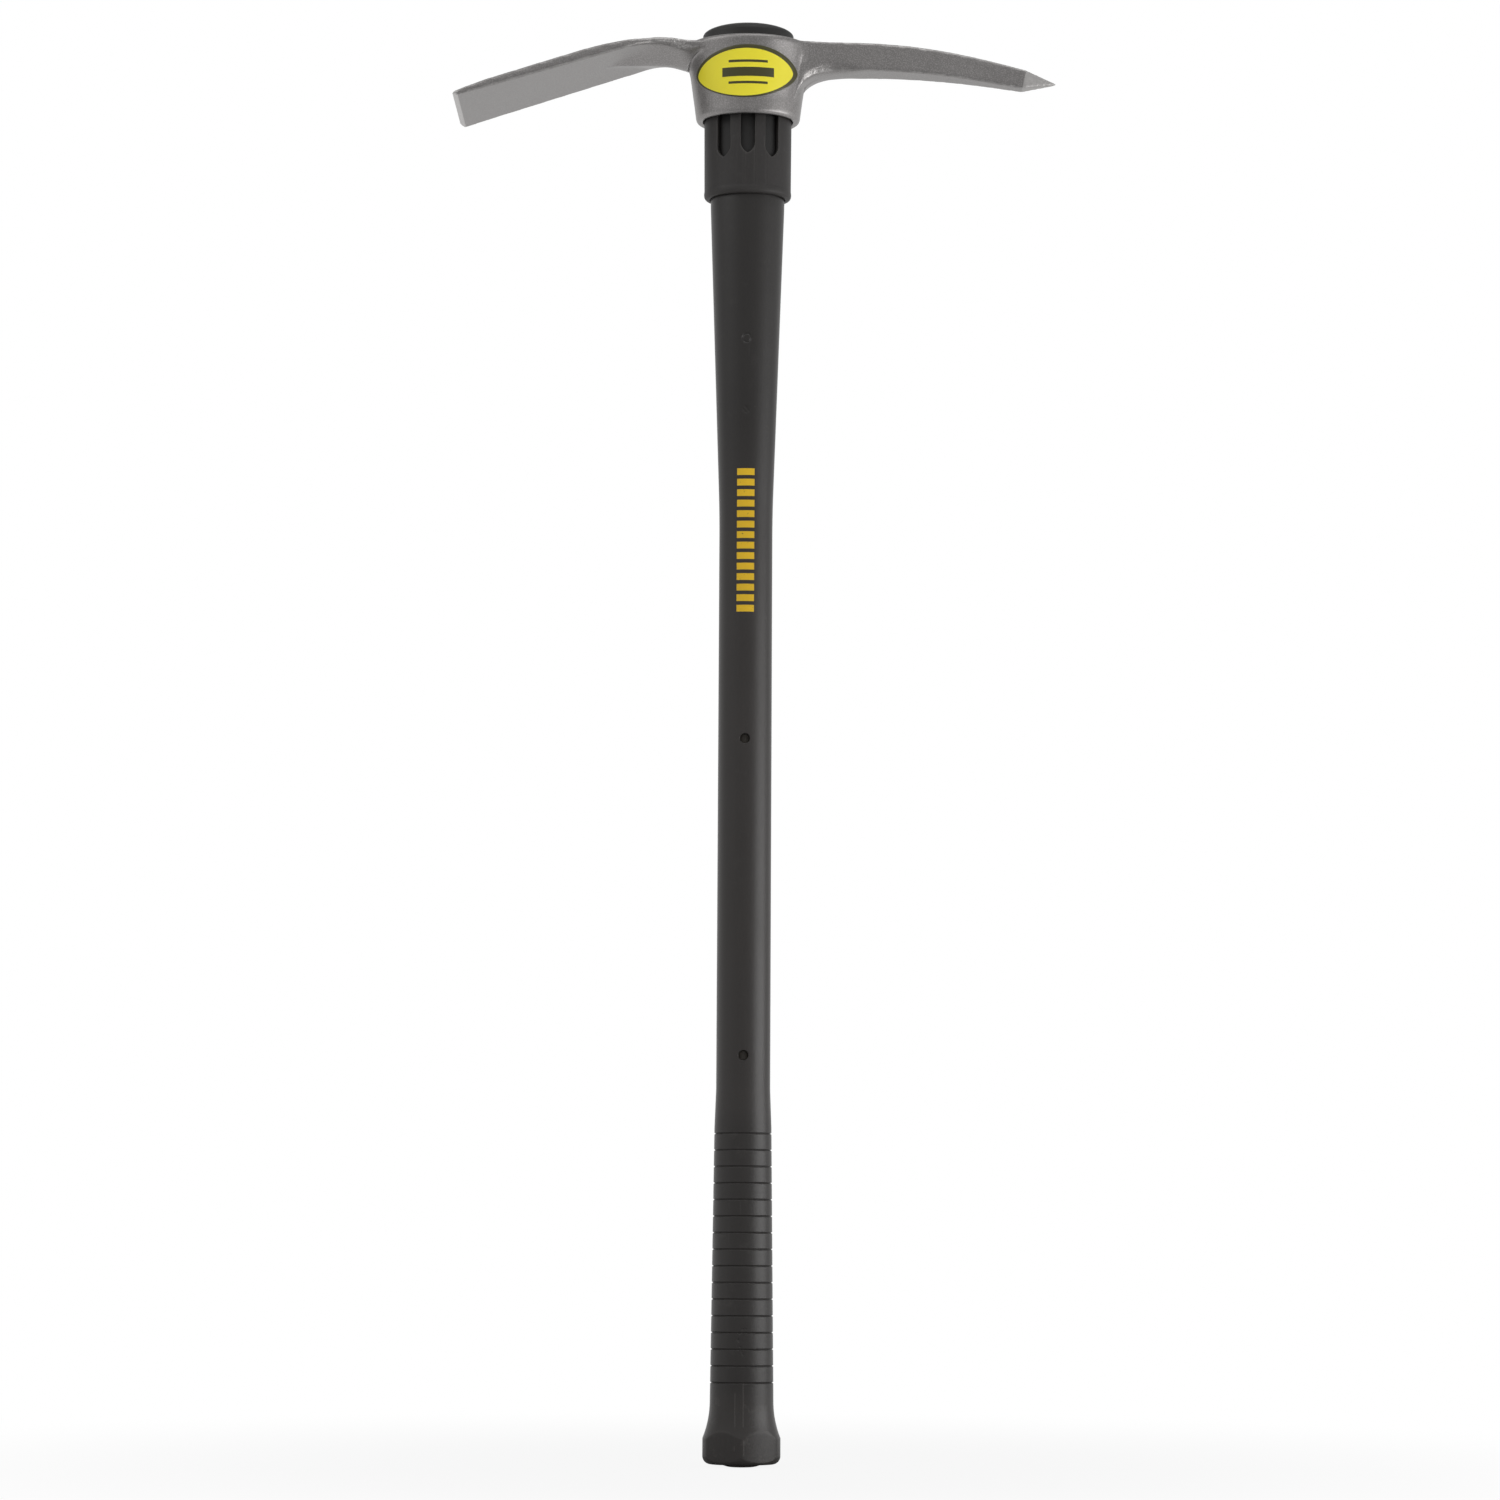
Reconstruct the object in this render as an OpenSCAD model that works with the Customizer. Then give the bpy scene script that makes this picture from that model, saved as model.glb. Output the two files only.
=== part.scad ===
// Pick mattock with a slip-fit forged head on a jacketed glass-fibre handle.
// The origin is the middle of the butt, +Z runs up the handle, +X points to the pick
// and -Y is the labelled front.

/* [Handle] */
// Length from the butt to the top of the crown
handle_l = 914; // [800:1:1000]
// Depth of the oval handle as a share of its width
section_ratio = 0.74; // [0.72:0.01:0.76]
// Width of the slim part of the shaft
shaft_w = 33.6; // [31:0.2:35]
// Width of the neck where it leaves the collar
neck_w = 47.2; // [44:0.2:48]
// Length over which the neck narrows to the shaft
neck_l = 200; // [170:1:260]
// Radius of the soft bend at the foot of the neck
neck_foot_r = 900; // [300:10:1200]
// Radius of the soft bend at the top of the neck
neck_top_r = 300; // [100:10:400]

/* [Crown] */
// Width of the crown where it stands out of the eye
crown_w = 58.4; // [57.6:0.2:59.4]
// Height of the domed top
crown_dome_h = 7.4; // [5:0.2:12]
// Straight wall between the eye and the dome
crown_wall_h = 6.4; // [3:0.2:10]
// Height of the sloping shoulder under the crown
shoulder_h = 8; // [5:0.5:12]

/* [Grip] */
// Width at the top of the grip
grip_top_w = 35.4; // [35:0.2:38]
// Width at the foot of the grip
grip_foot_w = 39.2; // [38:0.2:42]
// Height of the top of the grip above the butt
grip_top_z = 207; // [206:1:225]
// Length of the step from the grip to the slim shaft
grip_step_l = 24; // [12:1:40]
// Number of finger grooves
groove_n = 16; // [4:1:16]
// Distance between grooves
groove_pitch = 10.15; // [8:0.05:10.2]
// Height of the lowest groove above the butt
groove_foot_z = 51.2; // [46:0.2:52]
// Width of one groove
groove_w = 1.3; // [0.8:0.1:3]
// Depth of one groove
groove_d = 0.7; // [0.4:0.1:1.2]

/* [Knob] */
// Width of the knob at the butt
knob_w = 48; // [44:0.2:52]
// Height of the foot of the flare above the butt
flare_foot_z = 17.5; // [14:0.5:20]
// Height where the flare meets the grip
flare_top_z = 40; // [34:0.5:44]
// Radius of the knob's lower corner
knob_corner_r = 5; // [2:0.2:7]
// Depth of the four flats on the quarters of the knob
flat_cut = 1.3; // [0.5:0.1:2]
// Angle of each flat from the front or the back
flat_angle = 27; // [22:1:40]
// Diameter of the raised foot in the middle of the butt
foot_d = 22; // [16:0.5:26]
// Height of the raised foot
foot_h = 1.7; // [1:0.1:3]

/* [Core] */
// Diameter of the glass-fibre core
core_d = 19; // [14:0.5:20]
// Jacket left over each end of the core
core_cover = 12; // [8:0.5:20]
// Diameter of the holes left by the pins that held the core
pin_d = 6.2; // [4:0.2:8]
// Depth of the two pin marks that filled while moulding
pin_mark_depth = 0.8; // [0.4:0.1:1.2]
// Height of the lower open pin hole
pin_low_z = 251.5; // [245:0.5:300]
// Height of the upper open pin hole
pin_high_z = 449.5; // [380:0.5:480]
// Distance of the lower filled pin mark below the top of the neck
mark_low_drop = 135; // [115:0.5:155]
// Distance of the upper filled pin mark below the top of the neck
mark_high_drop = 89; // [65:0.5:105]

/* [Eye] */
// Height of the eye
eye_h = 50.5; // [46:0.5:58]
// Width of the eye across its foot
eye_foot_w = 65.4; // [64:0.2:69]
// Width of the eye across its top
eye_top_w = 79.6; // [76:0.2:84]
// Depth of the eye's outside as a share of its width
eye_ratio = 0.77; // [0.76:0.01:0.82]
// Radius of the rims
rim_r = 2.4; // [0.5:0.1:2.6]
// How much wider the bore is at its top than at its foot, on the radius
bore_taper = 0.9; // [0.3:0.1:1.6]
// Break on the edges of the bore
bore_break = 0.6; // [0.2:0.1:0.8]

/* [Adze] */
// Distance from the handle's axis to the cutting edge
adze_reach = 187.6; // [165:0.2:215]
// Drop of the cutting edge below the top of the eye
adze_drop = 42; // [38:0.2:50]
// Width of the cutting edge
adze_edge_w = 71; // [62:0.5:86]
// Width of the blade at its bend
adze_bend_w = 60.4; // [52:0.5:64]
// Width of the blade where it leaves the eye
adze_root_w = 44; // [38:0.5:46]
// Radius of the edge's corners
adze_corner_r = 2.5; // [1:0.1:6]
// Radius of the blade's sides where they leave the eye
adze_root_r = 20; // [8:0.5:24]
// Radius of the blade's sides at the bend
adze_side_r = 40; // [15:0.5:60]
// Distance from the axis to the bend along the top
adze_bend_x = 74.8; // [72:0.2:80]
// Drop of the bend along the top below the top of the eye
adze_bend_drop = 2.3; // [1.6:0.1:2.6]
// Radius of the bend along the top
adze_bend_r = 200; // [80:1:210]
// Distance of the bend underneath, back from the bend along the top
adze_under_back = 11; // [8:0.1:13]
// Radius of the bend underneath
adze_under_r = 112; // [60:1:118]
// Thickness of the blade where it leaves the eye
adze_root_t = 3.4; // [2.8:0.1:5]
// Dip of the blade's top where it leaves the eye
adze_dip = 2.7; // [2.6:0.1:3.6]
// Length of the ground slope on the top of the edge
grind_l = 21.6; // [18:0.2:26]
// Rise of the ground slope
grind_rise = 9; // [8.5:0.1:10]
// Radius where the ground slope starts
grind_r = 30; // [10:1:40]
// Length of the bevel under the edge
bevel_l = 3; // [1.5:0.1:5]
// Drop of the bevel
bevel_drop = 1.5; // [0.5:0.1:2]
// Depth of the keel's ridge below the top of the eye
keel_drop = 13.2; // [11:0.1:16]
// Slope of the keel's flanks, rise per run
keel_slope = 0.32; // [0.25:0.01:0.4]

/* [Pick] */
// Distance from the handle's axis to the point
pick_reach = 197.7; // [175:0.5:230]
// Drop of the point below the top of the eye
pick_drop = 24; // [21:0.2:30]
// Rise of the pick's top above the top of the eye
pick_rise = 0.2; // [0.1:0.1:1]
// Height of the pick at its root
pick_root_h = 17.6; // [16:0.1:20]
// Width of the pick at its root
pick_root_w = 20; // [17:0.2:24]
// Width of the pick halfway along
pick_mid_w = 16.4; // [13:0.2:18]
// Distance from the axis to the start of the pick's straight sides
pick_root_x = 54; // [50:0.5:60]
// Place of the bend along the top, as a share of the reach
pick_bend_at = 0.592; // [0.56:0.002:0.61]
// Share of the outer half that the curve along the top takes up
pick_bend_round = 0.89; // [0.5:0.01:0.95]
// Place of the bend underneath, as a share of the reach
pick_under_at = 0.567; // [0.53:0.002:0.6]
// Share of the outer half that the curve underneath takes up
pick_under_round = 0.59; // [0.3:0.01:0.7]
// Share of the outer half that the curve along each side takes up
pick_side_round = 0.11; // [0.05:0.01:0.7]
// Length of the ground point
point_l = 19; // [14:0.5:26]
// Drop of the pick's top where the ground point starts
point_start_drop = 16; // [13:0.2:18]
// Height of the pick where the ground point starts
point_start_h = 11.3; // [9:0.1:13]
// Width of the pick where the ground point starts
point_start_w = 8.6; // [7:0.2:11]
// How far the ground point starts earlier underneath
point_lean = 2.5; // [0:0.1:4]
// Width left at the very tip
point_tip_w = 0.9; // [0.4:0.1:2]
// Radius of the web under the root of the pick
web_r = 23; // [12:0.5:25]
// Drop of the foot of the web below the top of the eye
web_drop = 42; // [38:0.5:44]
// Radius of the flare where the pick widens into the eye
flare_r = 40; // [15:0.5:45]
// Width of that flare inside the eye
pick_flare_w = 29; // [26:0.5:30]

/* [Collar] */
// Length of collar seen under the eye
collar_drop = 51; // [42:0.5:60]
// Length of collar inside the eye
collar_reach = 14; // [8:0.5:18]
// How much the collar narrows towards its foot, on the radius
collar_draft = 0.3; // [0:0.05:0.8]
// How far the lip at the foot stands out
collar_lip = 0.2; // [0.1:0.05:0.5]
// Height of the lip
collar_lip_h = 4.5; // [3:0.1:8]
// Radius of the collar's edges
collar_edge_r = 2.6; // [0.5:0.1:2.8]
// Angle round the oval from the middle slot to the next ones
slot_angle = 34; // [30:1:40]
// Width of one slot
slot_w = 9; // [6:0.1:9.5]
// Length of the middle slots seen under the eye
slot_drop = 25; // [18:0.5:32]
// Extra length of the other slots
slot_step = 1.8; // [0:0.1:3]
// Radius of the pointed slot ends
slot_end_r = 8; // [5:0.1:12]

/* [Label] */
// Width of the label as seen from the front
label_w = 64; // [50:0.5:65]
// Height of the label
label_h = 33.6; // [26:0.2:35]
// Thickness of the label
label_t = 0.3; // [0.2:0.05:0.5]
// Drop of the label's middle below the top of the eye
label_drop = 24.2; // [21:0.2:25]
// Shift of the label's middle towards the adze
label_shift = 0.7; // [0:0.1:2]

/* [Clearances] */
// Gap between the handle and what slides on it, on the radius
slide_gap = 0.3; // [0.2:0.05:0.4]
// Gap between the collar and the foot of the bore, on the radius
collar_gap = 0.6; // [0.4:0.05:0.8]
// Film of glue between the eye and the label, on the radius
glue_t = 0.05; // [0.03:0.01:0.1]

/* [Hidden] */
$fn = 96;

arc_steps = 8;
past = 1;
far = 500;

// Heights along the handle
eye_top_z = handle_l - crown_dome_h - crown_wall_h;
eye_foot_z = eye_top_z - eye_h;
collar_top_z = eye_foot_z + collar_reach;
collar_foot_z = eye_foot_z - collar_drop;
shoulder_foot_z = collar_top_z + slide_gap;
crown_foot_z = shoulder_foot_z + shoulder_h;
neck_top_z = collar_foot_z - collar_lip_h;
core_foot_z = foot_h + core_cover;
core_l = handle_l - core_cover - core_foot_z;

// Half widths of the oval pieces
bore_top_r = crown_w / 2 + slide_gap;
bore_foot_r = bore_top_r - bore_taper;
collar_top_r = bore_foot_r - collar_gap;
collar_foot_r = collar_top_r - collar_draft;
collar_bore_r = neck_w / 2 + slide_gap;

function bore_r(z) = bore_foot_r + bore_taper * (z - eye_foot_z) / eye_h;
function eye_r(z) = (eye_foot_w + (eye_top_w - eye_foot_w) * (z - eye_foot_z) / eye_h) / 2;
function grip_r(z) =
    (grip_foot_w + (grip_top_w - grip_foot_w) * (z - flare_top_z) / (grip_top_z - flare_top_z)) / 2;
function neck_r(drop) = (neck_w - (neck_w - shaft_w) * drop / neck_l) / 2;

// Rounded outlines: each point is [x, y, radius], and a radius turns the corner into an arc
function unit(v) = v / norm(v);
function turned(v, a) = [v.x * cos(a) - v.y * sin(a), v.x * sin(a) + v.y * cos(a)];
function flat(p) = [p.x, p.y];
function arc(before, at, after, r) =
    let (
        u = unit(before - at),
        v = unit(after - at),
        half = acos(u * v) / 2,
        centre = at + unit(u + v) * r / sin(half),
        start = at + u * r / tan(half) - centre,
        turn = (180 - 2 * half) * sign(cross(v, u))
    )
    [for (i = [0 : arc_steps]) centre + turned(start, turn * i / arc_steps)];
function rounded(path) =
    let (n = len(path))
    [for (i = [0 : n - 1])
        each is_undef(path[i][2]) ? [flat(path[i])]
            : arc(flat(path[(i + n - 1) % n]), flat(path[i]), flat(path[(i + 1) % n]), path[i][2])];

// A corner whose arc takes up a share of the shorter side next to it
function eased(before, at, after, round) =
    let (half = acos(unit(before - at) * unit(after - at)) / 2)
    [at.x, at.y, round * min(norm(before - at), norm(after - at)) * tan(half)];

// The other half of an outline that is the same on both sides of the X axis
function both_sides(path) =
    concat(path, [for (i = [len(path) - 1 : -1 : 0]) [path[i].x, -path[i].y, path[i][2]]]);

// An outline drawn in X and Z, as deep as any piece needs
module side_plate(path) {
    rotate([90, 0, 0])
        linear_extrude(far, center = true)
            polygon(rounded(path));
}

// An outline drawn in X and Y, as high as the head needs
module plan_plate(path) {
    translate([0, 0, eye_top_z])
        linear_extrude(far, center = true)
            polygon(rounded(path));
}

// An outline turned into an oval body, one quarter at a time
module oval_turn(ratio) {
    for (turn = [0 : 90 : 270])
        scale([1, ratio, 1])
            rotate(turn)
                rotate_extrude(angle = 90)
                    children();
}

// The handle's outline from the butt to the crown, as a half width at each height
function groove(z) = [
    [grip_r(z - groove_w / 2), z - groove_w / 2],
    [grip_r(z) - groove_d, z],
    [grip_r(z + groove_w / 2), z + groove_w / 2]];

function knob_flare() =
    let (
        rise = flare_top_z - flare_foot_z,
        run = (knob_w - grip_foot_w) / 2,
        r = (rise * rise + run * run) / (2 * run),
        sweep = asin(rise / r)
    )
    [for (i = [arc_steps : -1 : 0])
        [grip_foot_w / 2 + r * (1 - cos(sweep * i / arc_steps)),
         flare_top_z - r * sin(sweep * i / arc_steps)]];

function crown_dome() =
    [for (i = [0 : arc_steps])
        [crown_w / 2 * cos(90 * i / arc_steps),
         handle_l - crown_dome_h * (1 - sin(90 * i / arc_steps))]];

function handle_outline() = rounded(concat(
    [[0, foot_h], [knob_w / 2, foot_h, knob_corner_r]],
    knob_flare(),
    [for (i = [0 : groove_n - 1]) each groove(groove_foot_z + i * groove_pitch)],
    [[grip_top_w / 2, grip_top_z, grip_step_l],
     [shaft_w / 2, grip_top_z + grip_step_l, 2 * grip_step_l],
     [shaft_w / 2, neck_top_z - neck_l, neck_foot_r],
     [neck_w / 2, neck_top_z, neck_top_r],
     [neck_w / 2, shoulder_foot_z],
     [bore_r(crown_foot_z) - slide_gap, crown_foot_z],
     [crown_w / 2, eye_top_z]],
    crown_dome()));

// Flats on the four quarters of the knob
module knob_flats() {
    reach = norm([sin(flat_angle), section_ratio * cos(flat_angle)]) * knob_w / 2;
    for (side = [0, 180], turn = [-flat_angle, flat_angle])
        rotate(side + turn)
            translate([-far / 2, reach - flat_cut, 0])
                cube([far, far, flare_top_z]);
}

// Holes that the pins left in front and behind, open down to the core or filled to a mark
module pin_hole(z, from) {
    for (side = [0, 180])
        rotate([90, 0, side])
            translate([0, z, from])
                cylinder(d = pin_d, h = knob_w);
}

module pin_holes() {
    pin_hole(pin_low_z, 0);
    pin_hole(pin_high_z, 0);
    for (drop = [mark_low_drop, mark_high_drop])
        pin_hole(neck_top_z - drop, section_ratio * neck_r(drop) - pin_mark_depth);
}

module core_rod() {
    translate([0, 0, core_foot_z])
        cylinder(d = core_d, h = core_l);
}

module handle_jacket() {
    color([0.12, 0.12, 0.12])
        difference() {
            union() {
                oval_turn(section_ratio)
                    polygon(handle_outline());
                cylinder(d = foot_d, h = 2 * foot_h);
            }
            knob_flats();
            core_rod();
            pin_holes();
        }
}

module handle_core() {
    color([0.16, 0.14, 0.12])
        core_rod();
}

module eye_block() {
    oval_turn(eye_ratio)
        polygon(rounded([
            [0, eye_foot_z],
            [eye_foot_w / 2, eye_foot_z, rim_r],
            [eye_top_w / 2, eye_top_z, rim_r],
            [0, eye_top_z]]));
}

// The tapered oval bore, with broken edges
module eye_bore() {
    mouth = bore_break + past;
    oval_turn(section_ratio)
        polygon([
            [0, eye_foot_z - past],
            [bore_foot_r + mouth, eye_foot_z - past],
            [bore_foot_r, eye_foot_z + bore_break],
            [bore_top_r, eye_top_z - bore_break],
            [bore_top_r + mouth, eye_top_z + past],
            [0, eye_top_z + past]]);
}

// The blade's top from the eye to its cutting edge
function adze_top() =
    let (edge = [-adze_reach, eye_top_z - adze_drop])
    [[-bore_foot_r, eye_top_z - adze_dip],
     [-eye_top_w / 2, eye_top_z - adze_dip, rim_r],
     [-adze_bend_x, eye_top_z - adze_bend_drop, adze_bend_r],
     [edge.x + grind_l, edge.y + grind_rise, grind_r],
     edge];

function adze_under() =
    let (low = eye_top_z - adze_bend_drop - adze_root_t)
    [[-adze_reach + bevel_l, eye_top_z - adze_drop - bevel_drop],
     [-adze_bend_x + adze_under_back, low, adze_under_r],
     [-bore_foot_r, low]];

// The ridge under the blade that carries it into the eye, ending inside the blade
module keel() {
    low = eye_top_z - keel_drop;
    high = eye_top_z - adze_bend_drop - adze_root_t / 2;
    floor_z = eye_top_z - 2 * adze_drop;
    run = (high - low) / keel_slope;
    intersection() {
        side_plate(concat(
            [for (p = adze_top()) [p.x, p.y - adze_root_t / 3, p[2]]],
            [[-adze_reach, floor_z], [-bore_foot_r, floor_z]]));
        rotate([90, 0, -90])
            translate([0, 0, bore_foot_r])
                linear_extrude(adze_bend_x)
                    polygon([[0, low], [run, high], [-run, high]]);
    }
}

// The broad blade, cut from its side outline and its plan
module adze() {
    intersection() {
        union() {
            side_plate(concat(adze_top(), adze_under()));
            keel();
        }
        plan_plate(both_sides([
            [-bore_foot_r, adze_root_w / 2],
            [-eye_top_w / 2, adze_root_w / 2, adze_root_r],
            [-adze_bend_x, adze_bend_w / 2, adze_side_r],
            [-adze_reach, adze_edge_w / 2, adze_corner_r]]));
    }
}

// The pick with its ground point and the web that carries it into the eye
module pick() {
    top = eye_top_z + pick_rise;
    low = top - pick_root_h;
    bend_x = pick_bend_at * pick_reach;
    start = [pick_reach - point_l, eye_top_z - point_start_drop];
    under = start - [point_lean, point_start_h];
    web = [eye_r(low), low];
    root_side = [pick_root_x, pick_root_w / 2];
    start_side = [start.x, point_start_w / 2];
    intersection() {
        side_plate([
            [bore_foot_r, top],
            eased([bore_foot_r, top], [bend_x, top], start, pick_bend_round),
            start,
            [pick_reach, eye_top_z - pick_drop],
            under,
            eased(under, [pick_under_at * pick_reach, low], web, pick_under_round),
            [web.x, web.y, web_r],
            [bore_foot_r, eye_top_z - web_drop]]);
        plan_plate(both_sides([
            [bore_foot_r, pick_flare_w / 2],
            [root_side.x, root_side.y, flare_r],
            eased(root_side, [bend_x, pick_mid_w / 2], start_side, pick_side_round),
            start_side,
            [pick_reach, point_tip_w / 2]]));
    }
}

module head() {
    color([0.55, 0.55, 0.56])
        difference() {
            union() {
                eye_block();
                adze();
                pick();
            }
            eye_bore();
        }
}

// One slot standing on its pointed end, open at the top
module slot_outline(drop) {
    lean = slot_end_r - slot_w / 2;
    shoulder = sqrt(slot_end_r * slot_end_r - lean * lean);
    translate([0, eye_foot_z - drop + shoulder]) {
        translate([-slot_w / 2, 0])
            square([slot_w, drop + collar_reach]);
        intersection() {
            translate([lean, 0])
                circle(r = slot_end_r);
            translate([-lean, 0])
                circle(r = slot_end_r);
        }
    }
}

// Slots in front and behind, each square to the oval
module slots() {
    for (side = [0, 180], turn = [-slot_angle, 0, slot_angle])
        rotate(side)
            translate([collar_foot_r * sin(turn), -section_ratio * collar_foot_r * cos(turn), 0])
                rotate([90, 0, atan(section_ratio * tan(turn))])
                    linear_extrude(slot_w, center = true)
                        slot_outline(turn == 0 ? slot_drop : slot_drop + slot_step);
}

module locking_collar() {
    color([0.14, 0.14, 0.14])
        difference() {
            oval_turn(section_ratio)
                polygon(rounded([
                    [collar_bore_r, collar_foot_z],
                    [collar_foot_r + collar_lip, collar_foot_z, collar_edge_r],
                    [collar_foot_r + collar_lip, collar_foot_z + collar_lip_h],
                    [collar_foot_r, collar_foot_z + collar_lip_h + collar_lip],
                    [collar_top_r, eye_foot_z],
                    [collar_top_r, collar_top_z, collar_edge_r],
                    [collar_bore_r, collar_top_z]]));
            slots();
        }
}

// An oval wrapped on the front of the eye
module head_label() {
    middle = eye_top_z - label_drop;
    low = middle - label_h / 2;
    high = middle + label_h / 2;
    color([0.93, 0.86, 0.16])
        intersection() {
            scale([1, eye_ratio, 1])
                rotate(180)
                    rotate_extrude(angle = 180)
                        polygon([
                            [eye_r(low) + glue_t, low],
                            [eye_r(low) + glue_t + label_t, low],
                            [eye_r(high) + glue_t + label_t, high],
                            [eye_r(high) + glue_t, high]]);
            translate([-label_shift, 0, middle])
                rotate([90, 0, 0])
                    oval_turn(label_h / label_w)
                        square([label_w / 2, far]);
        }
}

handle_jacket();
handle_core();
head();
locking_collar();
head_label();
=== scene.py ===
"""Looks of a pick mattock: jacketed handle, forged head, locking collar and label."""

import math

import bpy
import numpy as np
from bpy.props import FloatProperty, FloatVectorProperty, IntProperty, PointerProperty
from bpy.types import Operator, Panel, PropertyGroup
from mathutils import Euler, Matrix, Vector


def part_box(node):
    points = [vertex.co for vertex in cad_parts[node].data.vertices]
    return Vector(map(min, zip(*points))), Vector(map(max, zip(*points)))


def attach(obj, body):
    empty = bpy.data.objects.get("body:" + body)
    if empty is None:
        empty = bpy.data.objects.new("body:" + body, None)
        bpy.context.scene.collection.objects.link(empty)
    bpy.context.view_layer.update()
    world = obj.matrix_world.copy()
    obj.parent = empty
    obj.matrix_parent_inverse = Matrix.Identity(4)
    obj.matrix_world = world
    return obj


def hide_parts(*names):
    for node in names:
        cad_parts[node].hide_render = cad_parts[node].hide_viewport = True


bl_info = {
    "name": "Pick Mattock",
    "version": (1, 0, 0),
    "blender": (4, 5, 0),
    "location": "3D View > Sidebar > Mattock",
    "description": "Builds the handle, head, collar and label of a pick mattock on its frame",
    "category": "Object",
}

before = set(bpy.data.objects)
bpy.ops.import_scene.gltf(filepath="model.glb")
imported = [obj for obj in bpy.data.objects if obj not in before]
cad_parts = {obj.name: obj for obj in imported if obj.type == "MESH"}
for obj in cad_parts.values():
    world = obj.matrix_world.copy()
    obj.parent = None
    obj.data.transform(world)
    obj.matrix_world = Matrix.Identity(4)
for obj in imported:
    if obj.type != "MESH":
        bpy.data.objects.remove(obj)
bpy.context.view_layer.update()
MM = 0.001

# Sizes that several pieces share, in millimetres. An oval is a depth as a share of the width.
OVAL, EYE_OVAL = 0.74, 0.77
EYE_FOOT_Z, EYE_TOP_Z = 849.7, 900.2
EYE_FOOT_R, EYE_TOP_R = 32.7, 39.8
LABEL_W, LABEL_H, LABEL_X, LABEL_Z = 65.0, 33.6, -0.8, 876.0


def size(name, default, description, low=0.0, high=1.0):
    """A length that a user may change, in metres."""
    return FloatProperty(name=name, description=description, default=default, min=low, max=high,
                         precision=5, unit="LENGTH")


def share(name, default, description, high=1.0):
    """A strength from nothing to high."""
    return FloatProperty(name=name, description=description, default=default, min=0.0, max=high,
                         subtype="FACTOR")


def colour(name, default, description):
    """A colour that a user may change."""
    return FloatVectorProperty(name=name, description=description, default=default, size=3, min=0.0,
                               max=1.0, subtype="COLOR")


def number(name, default, description, low, high):
    """A whole number that a user may change."""
    return IntProperty(name=name, description=description, default=default, min=low, max=high)


def power(name, default, description):
    """The power of a light."""
    return FloatProperty(name=name, description=description, default=default, min=0.0, unit="POWER")


class HandleLook(PropertyGroup):
    """Sizes and colours of the handle."""

    jacket: colour("Jacket", (0.026, 0.0228, 0.0213), "Colour of the moulded jacket")
    # The scuff colour also paints the highlight on the edges of the knob's flats
    scuff: colour("Scuffs", (0.07, 0.064, 0.06), "Colour of the rubbed places")
    ink: colour("Ink", (0.80, 0.50, 0.014), "Colour of the printed bars on the shaft")
    rod: colour("Core", (0.030, 0.024, 0.017), "Colour of the glass-fibre core")
    roughness: share("Roughness", 0.38, "Roughness of the jacket")
    groove_depth: size("Groove depth", 0.0007, "Depth of the rings in the grip", high=0.0012)
    seam: size("Seam", 0.00014, "Height of the thin strips on the knob", high=0.0003)
    bars: number("Bars", 14, "Number of printed bars", 1, 40)


class HeadLook(PropertyGroup):
    """Sizes and colours of the forged head."""

    paint: colour("Paint", (0.262, 0.252, 0.248), "Colour of the silver-grey paint")
    steel: colour("Bare steel", (0.56, 0.55, 0.54), "Colour where the paint is rubbed off")
    roughness: share("Roughness", 0.40, "Roughness of the paint")
    flake: share("Metal in the paint", 0.86, "How metallic the paint is")
    grain: size("Grain", 0.0007, "Grid of the head's mesh", low=0.0005, high=0.003)
    fillet: number("Fillets", 260, "Rounds of filling in the inner corners", 0, 400)
    swell: size("Swell", 0.00032, "What is added to make up for rounding", high=0.001)


class CollarLook(PropertyGroup):
    """Sizes and colours of the locking collar."""

    rubber: colour("Rubber", (0.0235, 0.0212, 0.0205), "Colour of the collar")
    bloom: colour("Bloom", (0.055, 0.051, 0.048), "Colour of the dusty film on the rubber")
    roughness: share("Roughness", 0.52, "Roughness of the collar")
    grain: size("Grain", 0.00045, "Grid of the collar's mesh", low=0.0003, high=0.002)


class LabelLook(PropertyGroup):
    """Sizes and colours of the label."""

    field: colour("Field", (1.0, 0.885, 0.037), "Colour of the label")
    line: colour("Line", (0.055, 0.052, 0.012), "Colour of the border and the bars")
    border: size("Border", 0.0017, "Width of the border", high=0.005)
    aside: size("Aside", 0.0008, "How far the field sits left of the middle of the border", high=0.002)
    sink: size("Sink", 0.0008, "How far the field sits below the middle of the border", high=0.002)
    thickness: size("Thickness", 0.0003, "How far the label stands out", high=0.0005)


class StageLook(PropertyGroup):
    """Light and floor."""

    floor: colour("Floor", (0.38, 0.38, 0.38), "Colour of the floor")
    key: power("Right light", 15.0, "Power of the right light")
    fill: power("Left light", 8.0, "Power of the left light")
    over: power("Top light", 7.0, "Power of the light above")
    air: share("Room", 0.53, "Brightness of the room in front of the tool", high=2.0)


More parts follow.
